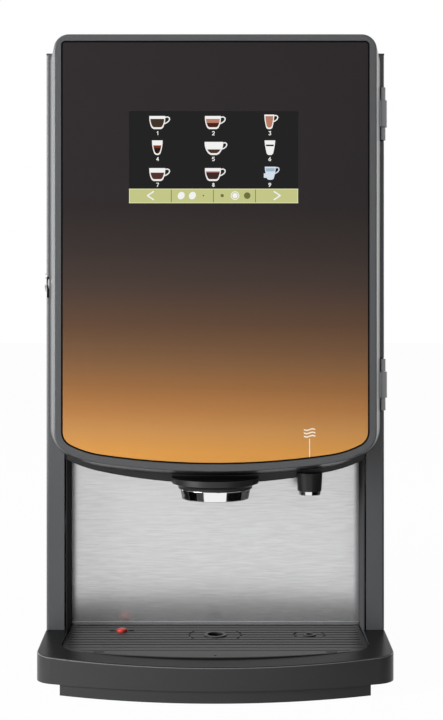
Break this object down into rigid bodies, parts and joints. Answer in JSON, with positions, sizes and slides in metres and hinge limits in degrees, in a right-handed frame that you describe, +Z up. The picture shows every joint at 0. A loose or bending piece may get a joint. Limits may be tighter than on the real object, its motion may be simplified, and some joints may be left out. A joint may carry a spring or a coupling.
{
  "type": "instant coffee machine",
  "caption": "Counter-top instant coffee machine with a hinged glass door, lit touch screen, steel cup niche, drip tray and grate, powder canisters, mixers and boiler.",
  "frame": {"origin": "on the counter under the middle of the machine, midway between its sides and between its front and back ends", "axes": "+Z up, +X to the right as seen from the front, +Y from the front to the back"},
  "size_m": [0.327, 0.435, 0.596],
  "materials": {
    "grey_plastic": "fine textured",
    "tray_plastic": "fine textured",
    "grey_sheet": "satin powder coat",
    "zinc_sheet": "mill finish",
    "stainless_panel": "fine brushed",
    "dark_plastic": "matte",
    "chrome_ring": "polished",
    "tap_chrome": "satin",
    "black_plastic": "matte",
    "boiler_steel": "satin",
    "heater_steel": "oxidised",
    "valve_plastic": "moulded",
    "hose_silicone": "translucent satin",
    "bowl_plastic": "satin",
    "whipper_plastic": "satin",
    "white_plastic": "satin",
    "motor_steel": "satin",
    "motor_plastic": "moulded",
    "board_green": "solder mask",
    "screw_steel": "plated",
    "door_glass": "glossy printed panel",
    "screen_black": "glossy",
    "hinge_steel": "satin",
    "lock_chrome": "polished",
    "grate_plastic": "fine textured",
    "float_red": "satin",
    "canister_clear": "clear moulded",
    "auger_plastic": "satin",
    "elbow_plastic": "satin",
    "foot_rubber": "matte"
  },
  "bodies": {
    "body": {"base_pan": "tray_plastic", "feet": "foot_rubber", "left_side_panel": "grey_sheet", "right_side_panel": "grey_sheet", "top_cover": "grey_sheet", "back_panel": "zinc_sheet", "splash_panel": "stainless_panel", "bulkhead": "zinc_sheet", "canister_shelf": "zinc_sheet", "mixer_wall": "zinc_sheet", "outlet_apron": "dark_plastic", "spout_ring": "chrome_ring", "hot_water_tap": "black_plastic", "tap_tip": "tap_chrome", "boiler_tank": "boiler_steel", "boiler_lid": "boiler_steel", "heating_element": "heater_steel", "outlet_valves": "valve_plastic", "inlet_valve": "valve_plastic", "inlet_hose": "hose_silicone", "silicone_hoses": "hose_silicone", "mixing_bowls": "bowl_plastic", "whipper_housings": "whipper_plastic", "whipper_motors": "motor_steel", "auger_motors": "motor_plastic", "fan_housing": "black_plastic", "control_board": "board_green", "power_supply": "zinc_sheet", "mains_inlet": "black_plastic", "panel_screws": "screw_steel", "body_hinges": "hinge_steel", "lock_case": "lock_chrome", "canister_1": "canister_clear", "canister_2": "canister_clear", "canister_3": "canister_clear"},
    "door": {"door_frame": "grey_plastic", "door_glass": "door_glass", "display_module": "screen_black", "door_liner": "black_plastic", "lock_keeper": "hinge_steel", "door_hinges": "hinge_steel"},
    "lock_barrel": {"lock_barrel": "lock_chrome"},
    "drip_tray": {"drip_tray": "tray_plastic"},
    "drip_grate": {"drip_grate": "grate_plastic"},
    "tray_float": {"tray_float": "float_red"},
    "impeller_left": {"impeller_left": "white_plastic"},
    "impeller_right": {"impeller_right": "white_plastic"},
    "fan_rotor": {"fan_rotor": "black_plastic"},
    "canister_lid_1": {"canister_lid_1": "white_plastic"},
    "auger_1": {"auger_1": "auger_plastic"},
    "agitator_1": {"agitator_1": "auger_plastic"},
    "outlet_elbow_1": {"outlet_elbow_1": "elbow_plastic"},
    "canister_lid_2": {"canister_lid_2": "white_plastic"},
    "auger_2": {"auger_2": "auger_plastic"},
    "agitator_2": {"agitator_2": "auger_plastic"},
    "outlet_elbow_2": {"outlet_elbow_2": "elbow_plastic"},
    "canister_lid_3": {"canister_lid_3": "white_plastic"},
    "auger_3": {"auger_3": "auger_plastic"},
    "agitator_3": {"agitator_3": "auger_plastic"},
    "outlet_elbow_3": {"outlet_elbow_3": "elbow_plastic"}
  },
  "joints": [
    {"name": "door_hinge", "type": "hinge", "parent": "body", "child": "door", "pos_m": [0.1585, -0.112, 0.4], "axis": [0, 0, 1], "range_deg": [0, 110]},
    {"name": "lock_turn", "type": "hinge", "parent": "body", "child": "lock_barrel", "pos_m": [-0.161, -0.098, 0.371], "axis": [-1, 0, 0], "range_deg": [0, 90]},
    {"name": "tray_slide", "type": "slide", "parent": "body", "child": "drip_tray", "axis": [0, -1, 0], "range_m": [0, 0.12]},
    {"name": "grate_lift", "type": "slide", "parent": "drip_tray", "child": "drip_grate", "axis": [0, 0, 1], "range_m": [0, 0.04]},
    {"name": "float_rise", "type": "slide", "parent": "drip_tray", "child": "tray_float", "axis": [0, 0, 1], "range_m": [0, 0.006]},
    {"name": "canister_lid_1_hinge", "type": "hinge", "parent": "body", "child": "canister_lid_1", "pos_m": [-0.091, 0.0826, 0.49], "axis": [-1, 0, 0], "range_deg": [0, 34]},
    {"name": "auger_1_turn", "type": "hinge", "parent": "body", "child": "auger_1", "pos_m": [-0.091, 0, 0.322], "axis": [0, 1, 0], "continuous": true},
    {"name": "agitator_1_turn", "type": "hinge", "parent": "body", "child": "agitator_1", "pos_m": [-0.091, 0.014, 0.36256], "axis": [1, 0, 0], "continuous": true},
    {"name": "outlet_elbow_1_turn", "type": "hinge", "parent": "body", "child": "outlet_elbow_1", "pos_m": [-0.091, -0.07, 0.322], "axis": [0, 1, 0], "range_deg": [0, 120]},
    {"name": "canister_lid_2_hinge", "type": "hinge", "parent": "body", "child": "canister_lid_2", "pos_m": [0, 0.0826, 0.49], "axis": [-1, 0, 0], "range_deg": [0, 34]},
    {"name": "auger_2_turn", "type": "hinge", "parent": "body", "child": "auger_2", "pos_m": [0, 0, 0.322], "axis": [0, 1, 0], "continuous": true},
    {"name": "agitator_2_turn", "type": "hinge", "parent": "body", "child": "agitator_2", "pos_m": [0, 0.014, 0.36256], "axis": [1, 0, 0], "continuous": true},
    {"name": "outlet_elbow_2_turn", "type": "hinge", "parent": "body", "child": "outlet_elbow_2", "pos_m": [0, -0.07, 0.322], "axis": [0, 1, 0], "range_deg": [0, 120]},
    {"name": "canister_lid_3_hinge", "type": "hinge", "parent": "body", "child": "canister_lid_3", "pos_m": [0.091, 0.0826, 0.49], "axis": [-1, 0, 0], "range_deg": [0, 34]},
    {"name": "auger_3_turn", "type": "hinge", "parent": "body", "child": "auger_3", "pos_m": [0.091, 0, 0.322], "axis": [0, 1, 0], "continuous": true},
    {"name": "agitator_3_turn", "type": "hinge", "parent": "body", "child": "agitator_3", "pos_m": [0.091, 0.014, 0.36256], "axis": [1, 0, 0], "continuous": true},
    {"name": "outlet_elbow_3_turn", "type": "hinge", "parent": "body", "child": "outlet_elbow_3", "pos_m": [0.091, -0.07, 0.322], "axis": [0, -1, 0], "range_deg": [0, 120]},
    {"name": "impeller_left_spin", "type": "hinge", "parent": "body", "child": "impeller_left", "pos_m": [-0.091, -0.06, 0.232], "axis": [0, 1, 0], "continuous": true},
    {"name": "impeller_right_spin", "type": "hinge", "parent": "body", "child": "impeller_right", "pos_m": [0.046, -0.06, 0.232], "axis": [0, 1, 0], "continuous": true},
    {"name": "fan_spin", "type": "hinge", "parent": "body", "child": "fan_rotor", "pos_m": [0.092, 0.2, 0.14], "axis": [0, 1, 0], "continuous": true}
  ],
  "couplings": [
    {"joint": "auger_1_turn", "follows": "agitator_1_turn", "ratio": -8},
    {"joint": "auger_2_turn", "follows": "agitator_2_turn", "ratio": -8},
    {"joint": "auger_3_turn", "follows": "agitator_3_turn", "ratio": -8}
  ]
}
